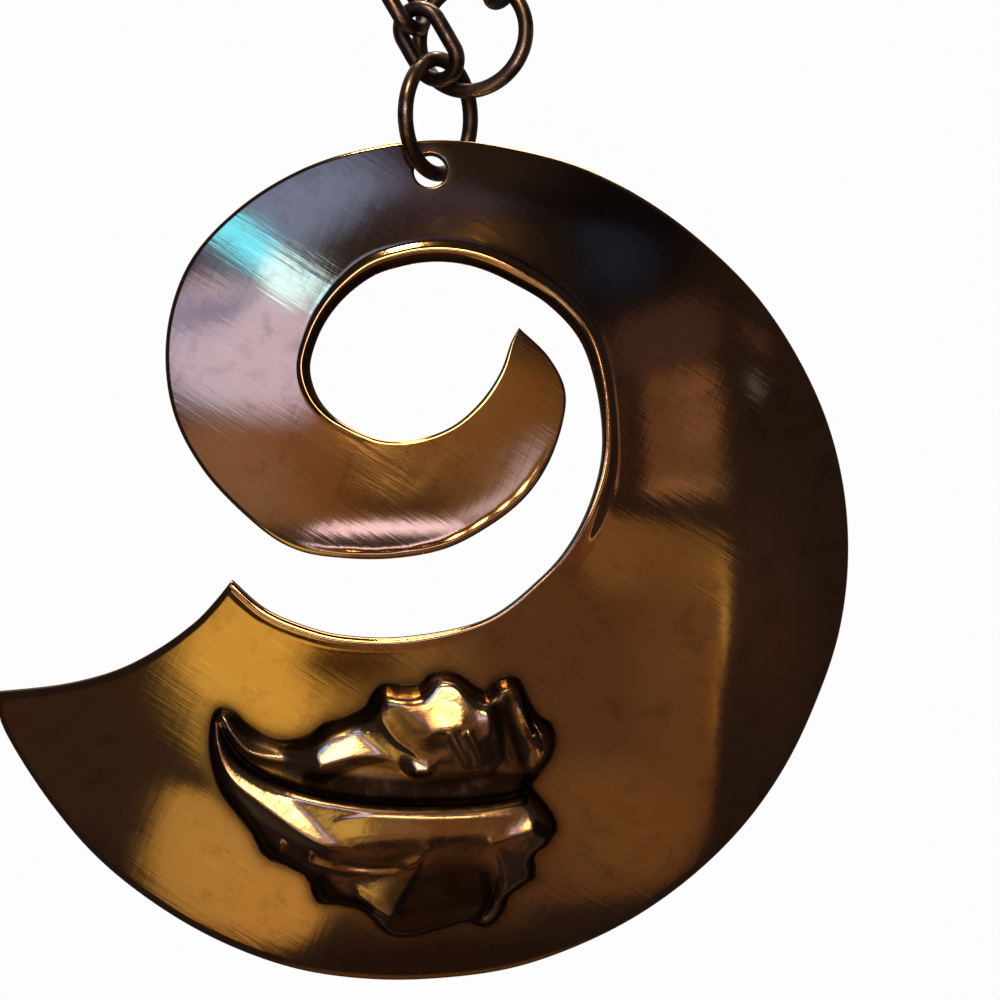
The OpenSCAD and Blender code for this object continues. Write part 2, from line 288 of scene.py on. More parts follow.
# Swells of a sheet that was raised by hand: middle x, z, half length, half width, tilt in degrees, rise
SWELLS = [
    [-3.0, 3.4, 13.0, 3.2, 4.0, 0.12],
    [21.5, -10.0, 2.2, 13.0, -8.0, 0.06],
    [-22.0, -16.0, 9.0, 4.0, -40.0, 0.12],
    [12.0, -22.0, 9.0, 5.0, 20.0, -0.10],
    [-15.0, 16.0, 3.0, 9.0, -12.0, 0.04],
    [6.0, 27.5, 9.0, 2.8, -8.0, 0.12],
]


def swells(x, z):
    """Height of the swells over the plain dome: each is its rise times a bell curve along both its axes."""
    lift = np.zeros_like(x)
    for cx, cz, wide, high, tilt, rise in SWELLS:
        c, s = math.cos(math.radians(tilt)), math.sin(math.radians(tilt))
        a, b = (x - cx) * c + (z - cz) * s, (z - cz) * c - (x - cx) * s
        lift = lift + rise * np.exp(-((a / wide) ** 2) - (b / high) ** 2)
    return lift


def turned_about(knots):
    """A dense curve through the knots, and each point's angle about the turning point, without jumps."""
    curve = as_cut(through(knots, 24))
    rel = curve - TURN_ABOUT
    return curve, np.unwrap(np.arctan2(rel[:, 1], rel[:, 0]))


def read_off(curve, angle, wanted):
    """Points of the curve at the wanted angles, read straight between its own points."""
    return np.stack([np.interp(wanted, angle, curve[:, k]) for k in (0, 1)], -1)


def edge_lines():
    """Matching points on the inner and the outer edge, at equal steps of the turning angle, with that
    angle in degrees. Near the wide end the outer points come later, so that the lines follow its slant."""
    outer, outer_turn = turned_about(OUTER_EDGE)
    inner, inner_turn = turned_about(INNER_EDGE[::-1])
    inner_turn += 2 * math.pi * np.round((outer_turn[0] - inner_turn[0]) / (2 * math.pi))
    share = np.linspace(0, 1, CROSS_LINES)
    turn = inner_turn[0] + (outer_turn[-1] - inner_turn[0]) * share
    late = (outer_turn[0] - inner_turn[0]) * (1 - ramp(share, 0, SLANT_SHARE))
    on_inner = read_off(inner, inner_turn, np.minimum(turn, inner_turn[-1]))
    on_outer = read_off(outer, outer_turn, turn + late)
    on_inner[-1] = on_outer[-1]
    return on_inner, on_outer, np.degrees(turn - turn[0]) + START_TURN


def plate_lift(x, z, turn, from_inner, from_outer):
    """Height over the plain dome: bell curves of the distance from an edge for the lip round the eye, the
    wide band's edge and the coil's rim, a power of it for the wall into the eye, and the swells."""
    lip = between(turn, *EYE_LIP)
    wall = between(turn, *EYE_WALL)
    narrow = ramp(turn, 480, 535)
    broad = 0.38 + 0.5 * (1 - ramp(turn, 300, 345)) - 0.14 * narrow
    lift = LIP_RISE * lip * np.exp(-(((from_inner - 0.55 - 0.4 * wall + 0.4 * narrow) / broad) ** 2))
    lift = lift - WALL_DROP * wall * np.clip(1 - from_inner / WALL_WIDE, 0, 1) ** 1.2
    body_edge = 1 - ramp(turn, 262, 280)
    lift = lift + BAND_RISE * body_edge * np.exp(-(((from_inner - 0.5) / 0.35) ** 2))
    rim = between(turn, *COIL_RIM)
    hammered = 1 + 0.3 * np.sin(turn * 0.4) * np.sin(turn * 0.23 + 1)
    lift = lift + RIM_RISE * rim * hammered * np.exp(-(((from_outer - 0.42) / 0.3) ** 2))
    return lift + swells(x, z)


def along_wide_end(share):
    """Points at those shares of the wide end's hollow curve, and the unit direction out of the sheet there,
    square to the curve and towards its left."""
    curve = as_cut(through(WIDE_END, 24))
    run = np.concatenate([[0], np.cumsum(np.linalg.norm(np.diff(curve, axis=0), axis=1))])
    line = np.stack([np.interp(share * run[-1], run, curve[:, k]) for k in (0, 1)], -1)
    tangent = unit(np.gradient(line, axis=0))
    out = np.stack([tangent[:, 1], -tangent[:, 0]], -1)
    return line, out * np.sign(out @ np.array([-1.0, 1.0]))[:, None]


def with_caps(values):
    """Values by cross line, with the first line's again for each row that rounds off the wide end."""
    return np.concatenate([np.repeat(values[:1], len(ROUND_STEPS), 0), values])


def band_grid():
    """The band as a grid: every cross line has a rounded edge, a finely divided strip, the rest and another
    rounded edge. Gives each point's place on the drawing, how far the rounding sinks it, its turning angle
    and its distances from the inner and the outer edge."""
    inner, outer, turn = edge_lines()
    width = np.linalg.norm(outer - inner, axis=1)[:, None]
    r = np.minimum(EDGE_ROUND, 0.25 * width)
    near = np.minimum(FINE_STRIP, 0.3 * width)
    strip = r + near * np.linspace(0, 1, EDGE_COLUMNS, endpoint=False)
    rest = r + near + (width - 2 * r - near) * np.linspace(0, 1, BAND_COLUMNS)
    low, high = r * (1 - np.cos(ROUND_STEPS)), width - r * (1 - np.cos(ROUND_STEPS[::-1]))
    across = np.concatenate([low, strip, rest, high], 1)
    steps = len(ROUND_STEPS)
    sunk = np.zeros_like(across)
    sunk[:, :steps] = r * (1 - np.sin(ROUND_STEPS))
    sunk[:, -steps:] = r * (1 - np.sin(ROUND_STEPS[::-1]))
    share = across / np.maximum(width, 1e-6)
    flat = inner[:, None] + (outer - inner)[:, None] * share[..., None]
    # The wide end follows its hollow curve, and the lines next to it give way smoothly
    end_line, out = along_wide_end(share[0])
    give = 1 - ramp(np.arange(CROSS_LINES) / CROSS_LINES, 0, END_SHARE)
    flat = flat + give[:, None, None] * (end_line - EDGE_ROUND * out - flat[0])[None]
    caps = [end_line - EDGE_ROUND * (1 - math.cos(a)) * out for a in ROUND_STEPS]
    cap_sunk = [np.maximum(sunk[0], EDGE_ROUND * (1 - math.sin(a))) for a in ROUND_STEPS]
    flat = np.concatenate([np.array(caps), flat])
    sunk = np.concatenate([np.array(cap_sunk), sunk])
    return flat, sunk, with_caps(turn)[:, None], with_caps(across), with_caps(width - across)


def hole_rim(i, j, high, wide):
    """Row and column of each grid point round the rim of a block, once round it from its first corner."""
    rim = [(i - high, column) for column in range(j - wide, j + wide)]
    rim += [(row, j + wide) for row in range(i - high, i + high)]
    rim += [(i + high, column) for column in range(j + wide, j - wide, -1)]
    rim += [(row, j - wide) for row in range(i + high, i - high, -1)]
    return np.array(rim)


def sheet_patina_and_painted_shade(spots, turn, from_inner):
    """Share of dark on the sheet's front: it falls off exponentially from the leaf's edge, and from the hole
    as painted shade, and it lies as painted shade on the wall that slopes into the eye."""
    leaf_edge = leaf_point(through(LEAF_OUTLINE, 8, closed=True))
    away = np.full(len(spots), OUT_OF_REACH)
    close = (np.abs(spots - LEAF_MIDDLE) < LEAF_REACH).all(-1)
    away[close] = np.sqrt(((spots[close, None] - leaf_edge[None]) ** 2).sum(-1)).min(1)
    patina_and_painted_shade = np.exp(-(away / 0.5) ** 1.3)
    hole_away = np.linalg.norm(spots - HOLE_XZ, axis=-1)
    # Painted shade round the hole
    patina_and_painted_shade = np.maximum(patina_and_painted_shade, 0.7 * np.exp(-np.maximum(hole_away - HOLE_R, 0) / 0.5))
    # Painted shade on the wall that slopes into the eye
    wall_painted_shade = between(turn, *EYE_WALL) * (1 - ramp(from_inner, 0.35, 0.62))
    return np.maximum(patina_and_painted_shade, 0.9 * wall_painted_shade.ravel())


def build_plate(finish):
    """The band's grid on the dome as a front and a back, joined along the edges. Round the hole the lines
    bend into circles, and a block of faces makes way for the hole's wall."""
    flat, sunk, turn, from_inner, from_outer = band_grid()
    rows, columns = flat.shape[:2]
    # The first third of the rows lies at the wide end, far from the hole
    wide_rows = rows // 3
    to_hole = flat - HOLE_XZ
    gap = np.linalg.norm(to_hole, axis=-1)
    gap[:wide_rows] = OUT_OF_REACH
    i0, j0 = np.unravel_index(np.argmin(gap), gap.shape)
    step_i = np.linalg.norm(flat[i0 + 1, j0] - flat[i0, j0])
    step_j = np.linalg.norm(flat[i0, j0 + 1] - flat[i0, j0])
    high, wide = max(2, round(HOLE_BLOCK / step_i)), max(2, round(HOLE_BLOCK / step_j))
    reach_i, reach_j = np.abs(np.arange(rows) - i0) / high, np.abs(np.arange(columns) - j0) / wide
    reach = np.maximum(reach_i[:, None], reach_j[None])
    outward = unit(to_hole + 1e-9)
    circle = HOLE_XZ + outward * (HOLE_R + 0.1) * (1 + 0.55 * (np.maximum(reach, 1) - 1))[..., None]
    bend = 1 - ramp(reach, 1.0, 1.9)
    bend[:wide_rows] = 0
    flat = flat + bend[..., None] * (circle - flat)

    x, z = flat[..., 0], flat[..., 1]
    front = on_plate(x, z, sunk - plate_lift(x, z, turn, from_inner, from_outer))
    back = on_plate(x, z, SHEET_T - sunk)
    count = rows * columns
    faces_front = grid_faces(rows, columns)
    i, j = np.divmod(faces_front[:, 0], columns)
    middle = np.maximum(np.abs(i + 0.5 - i0) / high, np.abs(j + 0.5 - j0) / wide)
    faces_front = faces_front[(middle > 1) | (i < wide_rows)]
    faces_back = faces_front[:, ::-1] + count
    # Walls from the front to the back along both edges and the wide end
    down, along_end = np.arange(rows - 1) * columns, np.arange(columns - 1)
    walls = []
    for here, there in (
        (down, down + columns), (down + columns - 1, down + 2 * columns - 1), (along_end, along_end + 1),
    ):
        walls.append(np.stack([here, there, there + count, here + count], -1))
    # The hole's wall, from the block's rim on the front to the one on the back, over four rings
    rim = hole_rim(i0, j0, high, wide)
    rim_id = rim[:, 0] * columns + rim[:, 1]
    out_rim = outward[rim[:, 0], rim[:, 1]]
    wall_rings = [
        (HOLE_R + HOLE_ROUND, HOLE_ROUND), (HOLE_R, 0.1),
        (HOLE_R, SHEET_T - 0.1), (HOLE_R + HOLE_ROUND, SHEET_T - HOLE_ROUND),
    ]
    rings = []
    for radius, depth in wall_rings:
        rings.append(on_plate(*(HOLE_XZ + out_rim * radius).T, np.full(len(rim), depth)))
    ring_id = [2 * count + k * len(rim) + np.arange(len(rim)) for k in range(len(rings))]
    ring_id = [rim_id] + ring_id + [rim_id + count]
    for a, b in zip(ring_id, ring_id[1:]):
        walls.append(np.stack([a, np.roll(a, -1), np.roll(b, -1), b], -1))
    points = np.concatenate([front.reshape(-1, 3), back.reshape(-1, 3)] + rings)
    faces = np.concatenate([faces_front, faces_back] + walls)

    # Marks: darker next to the leaf, painted shade round the hole and on the eye's wall, and rubbed edges on
    # the front, a little patina on the back, and painted shade on the hole's wall
    patina_and_painted_shade = sheet_patina_and_painted_shade(flat.reshape(-1, 2), turn, from_inner)
    rub_and_painted_highlight = np.exp(-np.minimum(from_inner, from_outer) / 0.35).ravel()
    in_hole = np.full(len(rings) * len(rim), 0.8)
    marks = {
        "patina_and_painted_shade": np.concatenate([patina_and_painted_shade, np.full(count, 0.25), in_hole]),
        "rub_and_painted_highlight": np.concatenate([rub_and_painted_highlight, rub_and_painted_highlight, 0 * in_hole]),
    }
    make_piece("domed_plate", points, faces, "pendant", finish, ("spiral_plate",), marks)


# The leaf

# The leaf is drawn on a fine grid of its own, the pixels of an enlarged crop of the photograph: the grid's
# unit and its corner on the plate's drawing
LEAF_UNIT = 0.022027
LEAF_CORNER = np.array([-22.256, -6.907])


def leaf_point(rows):
    """Points [right, down] of the leaf's grid on the drawing: its corner plus the grid's unit times them."""
    return as_cut(LEAF_CORNER + np.asarray(rows, float) * [LEAF_UNIT, -LEAF_UNIT])


# Outline, clockwise from the horn's tip
LEAF_OUTLINE = [
    [215, 215], [240, 186], [285, 200], [335, 245], [400, 285], [470, 297], [545, 280], [605, 238],
    [680, 215], [745, 180], [775, 130], [810, 100], [870, 103], [935, 100], [970, 68], [1015, 58],
    [1070, 72], [1120, 108], [1160, 122], [1192, 88], [1240, 74], [1278, 90], [1302, 145], [1340, 205],
    [1385, 240], [1400, 295], [1385, 350], [1350, 405], [1318, 452], [1350, 500], [1390, 555],
    [1403, 610], [1370, 660], [1328, 700], [1330, 770], [1290, 800], [1240, 842], [1215, 900],
    [1165, 945], [1100, 930], [1035, 945], [960, 968], [880, 985], [812, 968], [765, 922], [718, 885],
    [640, 868], [572, 855], [552, 800], [518, 755], [440, 722], [385, 690], [350, 620], [298, 550],
    [245, 478], [215, 395], [203, 300],
]
MIDRIB = [[238, 232], [290, 330], [390, 408], [540, 457], [740, 484], [950, 493], [1150, 487], [1296, 462]]
# Ridges: name, how steeply the flank to the left of the line falls and how round it is at the top, the
# same for the flank to the right, and the line's points [right, down, height]. Lines run mostly to the
# right, so that left is up.
LEAF_RIDGES = [
    ("left crest", (0.48, 0.06), (0.85, 0.5),
     [[224, 262, 0.9], [250, 345, 1.4], [300, 415, 1.75], [370, 468, 1.95], [450, 524, 2.17],
      [530, 576, 2.39], [610, 615, 2.5], [700, 625, 2.4]]),
    ("long crest", (0.2, 0.3), (0.3, 1.0),
     [[650, 606, 2.35], [720, 598, 2.48], [790, 592, 2.52], [900, 585, 2.47], [1020, 580, 2.42],
      [1130, 576, 2.4], [1230, 580, 2.35]]),
    ("crest's brow", (2.4, 0.2), (0.1, 0.3),
     [[650, 545, 2.0], [710, 533, 2.18], [780, 527, 2.28], [900, 532, 2.28], [1020, 533, 2.28],
      [1150, 529, 2.22], [1260, 528, 2.0], [1330, 556, 1.9], [1368, 600, 1.5]]),
    ("shoulder", (0.5, 0.1), (0.5, 0.3), [[1180, 615, 2.3], [1240, 592, 2.48], [1315, 570, 2.56]]),
    ("fold", (0.3, 0.5), (0.9, 0.15),
     [[560, 690, 1.95], [640, 712, 1.95], [700, 720, 1.95], [790, 712, 2.0], [880, 700, 2.1],
      [935, 672, 2.2], [960, 640, 2.3]]),
    ("gold facet", (0.45, 0.15), (1.4, 0.1), [[725, 805, 1.72], [790, 850, 1.98], [830, 872, 2.1]]),
    ("gold facet's right edge", (1.6, 0.1), (0.13, 0.3),
     [[930, 700, 2.1], [890, 770, 2.04], [845, 845, 1.94], [818, 890, 1.6]]),
    ("dark facet", (1.0, 0.2), (0.3, 0.6), [[900, 745, 1.45], [1050, 722, 1.6], [1140, 750, 1.5]]),
    ("right lobe", (0.35, 0.5), (1.1, 0.25),
     [[1180, 600, 2.35], [1215, 680, 2.1], [1225, 760, 1.9], [1205, 840, 1.5], [1170, 905, 1.1],
      [1120, 938, 0.9]]),
    ("last lobe", (0.6, 0.4), (0.5, 0.4),
     [[1290, 600, 2.2], [1320, 660, 1.85], [1312, 730, 1.6], [1270, 790, 1.2]]),
    ("foot rim", (0.6, 0.2), (0.6, 0.2),
     [[830, 945, 0.85], [900, 958, 0.95], [1000, 925, 0.95], [1090, 915, 0.95], [1160, 925, 0.85]]),
    ("first vein", (0.9, 0.2), (0.9, 0.2), [[455, 630, 1.6], [440, 670, 1.3], [400, 700, 0.9]]),
    ("second vein", (0.9, 0.2), (0.9, 0.2), [[560, 660, 2.0], [540, 730, 1.5], [530, 790, 0.9]]),
    ("third vein", (0.9, 0.2), (0.9, 0.2), [[655, 770, 1.4], [640, 805, 1.2], [620, 850, 0.8]]),
    ("horn", (1.5, 0.1), (0.4, 0.12),
     [[243, 196, 0.85], [262, 215, 1.0], [300, 268, 1.3], [350, 316, 1.35], [440, 338, 1.3],
      [540, 342, 1.35], [600, 338, 1.5]]),
    ("small lobe", (0.35, 0.1), (0.7, 0.35),
     [[600, 352, 2.36], [670, 335, 2.1], [740, 325, 1.88], [810, 328, 1.7], [870, 345, 1.5]]),
    ("facet's edge", (0.1, 0.3), (1.6, 0.08),
     [[812, 112, 1.7], [800, 160, 2.0], [806, 200, 2.15], [850, 262, 2.25], [915, 312, 2.15],
      [950, 345, 2.2]]),
    ("brown facet", (0.3, 0.6), (0.3, 0.6), [[880, 150, 2.3], [940, 230, 2.4], [1000, 310, 2.2]]),
    ("great lobe", (0.31, 0.12), (0.38, 0.15), [[975, 234, 2.75], [1030, 222, 2.74], [1075, 214, 2.72]]),
    ("great lobe's right", (1.0, 0.2), (0.13, 0.2),
     [[1150, 140, 2.3], [1165, 190, 2.5], [1165, 240, 2.6]]),
    ("streak", (0.7, 0.1), (0.7, 0.1), [[1040, 235, 2.74], [1060, 280, 2.6], [1090, 335, 2.3]]),
    ("second streak", (0.7, 0.1), (0.7, 0.1), [[1100, 240, 2.78], [1125, 290, 2.55], [1140, 330, 2.3]]),
    ("dark lobe", (0.7, 0.3), (0.7, 0.3), [[1150, 280, 2.2], [1165, 350, 1.9], [1180, 410, 1.3]]),
    ("curl", (0.8, 0.15), (0.8, 0.15),
     [[1215, 115, 1.5], [1245, 100, 1.6], [1280, 125, 1.75], [1300, 190, 1.9], [1350, 250, 1.95],
      [1378, 300, 1.8], [1365, 350, 1.6], [1325, 400, 1.4], [1300, 440, 1.1]]),
    ("curl's inner side", (0.5, 0.2), (0.7, 0.2),
     [[1205, 150, 1.5], [1230, 240, 1.7], [1262, 330, 1.6], [1290, 390, 1.3]]),
    ("bead", (0.42, 0.05), (1.3, 0.2), [[924, 368, 2.46], [958, 366, 2.46]]),
]
# Height of the floor between the ridges, how sharply ridges meet, and what that adds to their height
LEAF_FLOOR, RIDGE_SHARP, RIDGE_SOFT = 0.7, 8.0, 0.06
# Ditches: width in millimetres, then points [right, down, depth]
LEAF_DITCHES = [
    (0.32, [[x, y, 0.7] for x, y in MIDRIB]),
    (0.22, [[1290, 110, 0.5], [1305, 180, 0.6], [1328, 250, 0.3]]),
    (0.25, [[640, 690, 0.0], [760, 712, 0.22], [900, 700, 0.0]]),
]
# Where patina and painted shade darken the leaf, and where polish and painted highlights brighten it: share,
# half width, then points [right, down]
LEAF_PATINA_AND_PAINTED_SHADE = [
    (1.0, 62, [[575, 420], [700, 438], [850, 450], [1000, 447], [1150, 430], [1290, 425]]),
    (1.0, 26, [[258, 262], [316, 350], [400, 405], [500, 440], [600, 462]]),
    (0.45, 62, [[895, 180], [950, 260]]),
    (0.8, 20, [[282, 262], [330, 325], [400, 358], [470, 372]]),
    (0.5, 22, [[700, 340], [760, 345], [860, 360]]),
    (1.0, 20, [[600, 470], [750, 492], [950, 503], [1150, 497], [1290, 480]]),
    (0.95, 26,
     [[280, 200], [335, 252], [420, 296], [520, 296], [600, 262], [680, 225], [760, 190], [795, 130]]),
    (0.85, 46, [[1200, 130], [1225, 220], [1245, 320], [1280, 390]]),
    (1.0, 13, [[1285, 105], [1300, 180], [1325, 245]]),
    (0.55, 34, [[1350, 250], [1380, 300], [1350, 390]]),
    (0.5, 34, [[1150, 230], [1160, 330]]),
    (0.85, 40, [[225, 330], [260, 450], [330, 560], [400, 650], [470, 710], [540, 745], [570, 830]]),
    (0.95, 44, [[590, 770], [650, 830], [740, 860]]),
    (0.35, 44, [[560, 680], [700, 700], [860, 700]]),
    (0.84, 110, [[900, 810], [1000, 800], [1100, 780]]),
    (0.75, 60, [[860, 900], [960, 920], [1080, 880]]),
    (0.95, 28, [[1150, 740], [1165, 840], [1115, 910]]),
    (0.9, 24, [[1330, 560], [1385, 620], [1345, 690], [1340, 760], [1260, 830]]),
]
LEAF_POLISH_AND_PAINTED_HIGHLIGHTS = [
    (1.0, 56, [[320, 395], [400, 455], [490, 520], [580, 575]]),
    (0.7, 38, [[600, 540], [760, 570], [930, 585]]),
    (1.0, 40, [[630, 320], [735, 280], [830, 300]]),
    (1.0, 46, [[1000, 90], [1060, 120], [1130, 160]]),
    (0.8, 34, [[740, 780], [850, 770]]),
    (0.9, 20, [[1240, 570], [1310, 525]]),
    (0.9, 8, [[250, 200], [300, 268], [350, 316], [440, 338], [560, 342]]),
    (0.9, 7, [[806, 200], [860, 268], [905, 305]]),
    (0.8, 10, [[1005, 185], [1045, 260], [1085, 325]]),
    (0.8, 18, [[925, 340], [955, 360]]),
]
# Points round the leaf, and how many rings of them
LEAF_ROUND, LEAF_RINGS = 640, 120
# Nicks along the leaf's rim, their depth, and the row of the grid below which they are
NICKS, NICK_DEEP, NICKS_BELOW = 200, 3.0, 620
# The steep side of the great lobe: its middle and how far it reaches
CLIFF_AT, CLIFF_REACH = [1045, 90], 1.8
# Steps out from the rim down to the sheet with their heights, then steps back in below it
SKIRT_OUT, SKIRT_LOW = (0.06, 0.13, 0.2), (0.1, 0.03, -0.06)
UNDER_IN, UNDER_LOW = (1.0, 0.6, 0.0), -0.4


def near_line(spots, line, values=None):
    """Distance of each spot from a line, the line's value at its nearest point, and on which side of it
    the spot lies: 1 straight to the left, 0 straight ahead of an end, -1 straight to the right."""
    best = np.full(len(spots), 1e9)
    value, side = np.zeros(len(spots)), np.zeros(len(spots))
    values = np.zeros(len(line)) if values is None else values
    for a, b, va, vb in zip(line, line[1:], values, values[1:]):
        way = b - a
        t = np.clip(((spots - a) @ way) / (way @ way), 0, 1)
        off = spots - a - t[:, None] * way
        far = np.einsum("ij,ij->i", off, off)
        closer = far < best
        best = np.where(closer, far, best)
        value = np.where(closer, va + (vb - va) * t, value)
        across = (way[0] * off[:, 1] - way[1] * off[:, 0]) / np.sqrt(way @ way)
        side = np.where(closer, across / np.sqrt(np.maximum(far, 1e-12)), side)
    return np.sqrt(best), value, side


def leaf_line(rows):
    """A smooth line through points of the leaf's grid, with the third number of each as its value."""
    rows = through(np.asarray(rows, float), 5)
    return leaf_point(rows[:, :2]), rows[:, 2] if rows.shape[1] > 2 else None


def ridge_heights(spots):
    """Each ridge falls away from its line, at one slope on the left and another on the right. The leaf is
    the logarithm of the sum of the exponentials of them all and the floor, less the ditches."""
    heights = [np.full(len(spots), LEAF_FLOOR)]
    for _, (left, round_left), (right, round_right), rows in LEAF_RIDGES:
        far, height, side = near_line(spots, *leaf_line(rows))
        fall_left = left * (np.sqrt(far**2 + round_left**2) - round_left)
        fall_right = right * (np.sqrt(far**2 + round_right**2) - round_right)
        heights.append(height - fall_right - (fall_left - fall_right) * ramp(side, -1, 1))
    heights = np.array(heights)
    top = heights.max(0)
    height = top + np.log(np.exp(RIDGE_SHARP * (heights - top)).sum(0)) / RIDGE_SHARP - RIDGE_SOFT
    for width, rows in LEAF_DITCHES:
        far, depth, _ = near_line(spots, *leaf_line(rows))
        height = height - depth * np.exp(-((far / width) ** 2))
    return height


def strokes(spots, table):
    """How much each spot lies under a table's soft strokes: the most that any of them gives, each its share
    times a smooth step of the distance from its line."""
    share = np.zeros(len(spots))
    for strength, half, rows in table:
        far = near_line(spots, leaf_line(rows)[0])[0] / (half * LEAF_UNIT)
        share = np.maximum(share, strength * (1 - ramp(far, 0.55, 1.25)))
    return share


def build_leaf(finish):
    """Rings of points from the midrib out to the outline, raised by the ridges times one less an
    exponential of the distance from the rim, then a steep skirt and rings that close the leaf below."""
    dense = through(LEAF_OUTLINE, 12, closed=True)
    loop = np.vstack([dense, dense[:1]])
    run = np.concatenate([[0], np.cumsum(np.linalg.norm(np.diff(loop, axis=0), axis=1))])
    at = np.linspace(0, run[-1], LEAF_ROUND, endpoint=False)
    outline = np.stack([np.interp(at, run, loop[:, k]) for k in (0, 1)], -1)
    along = np.roll(outline, -1, 0) - np.roll(outline, 1, 0)
    normal = unit(np.stack([along[:, 1], -along[:, 0]], -1))
    nick = NICK_DEEP * np.interp(at, np.linspace(0, run[-1], NICKS), seeded_noise(3, NICKS))
    outline = outline + nick[:, None] * normal * (outline[:, 1:] > NICKS_BELOW)
    rib = through(MIDRIB, 24)
    core_x = np.clip(outline[:, 0], MIDRIB[0][0], MIDRIB[-1][0])
    core = np.stack([core_x, np.interp(core_x, rib[:, 0], rib[:, 1])], -1)
    tau = np.linspace(0, 1, LEAF_RINGS)
    t = 0.55 * tau + 0.45 * (1 - (1 - tau) ** 2)
    grid = core[None] + t[:, None, None] * (outline - core)[None]
    inner, edge = leaf_point(grid), leaf_point(outline)
    spread = np.stack([normal[:, 0], -normal[:, 1]], -1)
    skirt = np.array([edge + spread * e for e in SKIRT_OUT])
    under = np.array([leaf_point(core + k * (outline - core)) for k in UNDER_IN])
    spots = inner.reshape(-1, 2)
    inset = near_line(spots, np.vstack([edge, edge[:1]])[::4])[0].reshape(inner.shape[:2])
    inset[-1] = 0
    cliff = np.exp(-((spots - leaf_point(CLIFF_AT)) ** 2).sum(1) / CLIFF_REACH**2).reshape(inset.shape)
    side = 1 - np.exp(-((inset / (0.42 - 0.24 * cliff)) ** 1.4))
    height = ridge_heights(spots).reshape(inset.shape) * side
    x = np.concatenate([inner[..., 0], skirt[..., 0], under[..., 0]])
    z = np.concatenate([inner[..., 1], skirt[..., 1], under[..., 1]])
    low = [np.full(LEAF_ROUND, v) for v in SKIRT_LOW] + [np.full(LEAF_ROUND, UNDER_LOW)] * len(UNDER_IN)
    points = on_plate(x, z, -np.concatenate([height, np.array(low)]) - swells(x, z))
    faces = grid_faces(len(points), LEAF_ROUND, wrap_columns=True)
    # Painted shade on the steep rim, patina and painted shade along the strokes, and a dark skirt and
    # underside
    rim_painted_shade = np.exp(-((inset / (0.55 - 0.35 * cliff)) ** 1.6))
    patina_and_painted_shade = np.maximum(strokes(spots, LEAF_PATINA_AND_PAINTED_SHADE).reshape(inset.shape), rim_painted_shade)
    # Polish and painted highlights along the strokes, less near the rim
    rubbed_and_painted_highlight = strokes(spots, LEAF_POLISH_AND_PAINTED_HIGHLIGHTS).reshape(inset.shape) * (1 - 0.8 * np.exp(-((inset / 0.4) ** 2)))
    tail = np.ones((len(points) - LEAF_RINGS, LEAF_ROUND))
    marks = {"patina_and_painted_shade": np.concatenate([patina_and_painted_shade, tail]), "rub_and_painted_highlight": np.concatenate([rubbed_and_painted_highlight, 0 * tail])}
    make_piece("cast_leaf", points.reshape(-1, 3), faces, "pendant", finish, (), marks)


# Rings and chain

# Steps along and round the wire of a link, of the two rings at the plate and of the clasp
LINK_STEPS, RING_STEPS, CLASP_STEPS = (48, 16), (160, 40), (120, 32)
# How a wire's thickness wavers along its path, how much, and how much it differs from link to link
WAVER = [0.3, -0.6, 0.8, -0.2, 0.5, -0.9, 0.1, 0.7, 0.3]
WAVER_DEEP, FAT_SPREAD = 0.02, 0.025
# How sharply a bar turns into its half circle, and how far and deep a neighbour has rubbed the wire
BEND_SHARP, RUB_REACH, RUB_DEEP = 40, 0.12, 0.07


def wire_loops(place, direction, side, normal, half, reach, wire, steps, seed):
    """Closed wires: two straight bars of half length `half` joined by half circles of radius `reach`, swept
    by a circle. A ring has bars of no length. The thickness wavers, and is less where a neighbour rubs."""
    path_steps, round_steps = steps
    a = np.linspace(0, 2 * math.pi, path_steps, endpoint=False)
    shift = half * np.tanh(np.cos(a) * BEND_SHARP) if half else 0 * a
    cx, cy = shift + reach * np.cos(a), reach * np.sin(a)
    b = np.linspace(0, 2 * math.pi, round_steps, endpoint=False)
    waver = 1 + WAVER_DEEP * np.interp(a, np.linspace(0, 2 * math.pi, len(WAVER)), WAVER)
    count = len(place)
    fat = waver[None, :, None] * (1 + FAT_SPREAD * seeded_noise(seed, (count, 1, 1)))
    inside = np.maximum(-np.cos(b), 0)[None, None, :]
    rubbed_and_painted_highlight = np.exp(-((np.abs(np.cos(a)) - 1) / RUB_REACH) ** 2)[None, :, None] * (1.0 if half else 0.0)
    thick = wire * fat * (1 - RUB_DEEP * rubbed_and_painted_highlight * inside)
    out_x = cx[None, :, None] + thick * np.cos(b) * np.cos(a)[None, :, None]
    out_y = cy[None, :, None] + thick * np.cos(b) * np.sin(a)[None, :, None]
    out_z = thick * np.sin(b)
    pts = (place[:, None, None] + out_x[..., None] * direction[:, None, None]
           + out_y[..., None] * side[:, None, None] + out_z[..., None] * normal[:, None, None])
    faces = grid_faces(path_steps, round_steps, True, True)
    step = path_steps * round_steps
    faces = (faces[None] + step * np.arange(count)[:, None, None]).reshape(-1, 4)
    worn = np.broadcast_to(0.5 + 0.5 * np.cos(b), (count, path_steps, round_steps))
    return pts.reshape(-1, 3), faces, {"rub_and_painted_highlight": worn.ravel().copy()}


def link_path(first):
    """Distances of a strand's links from its hook, up to the clasp: as few as reach it, an even number."""
    clasp_step = CLASP_R - CLASP_WIRE - LINK_WIRE - LINK_GAP + LINK_HALF
    longest = 2 * (LINK_HALF - LINK_WIRE) - LINK_GAP
    room = LOOP_LEN / 2 - clasp_step - first
    count = 2 * math.ceil((room / longest + 1) / 2)
    return first + np.arange(count) * room / (count - 1)


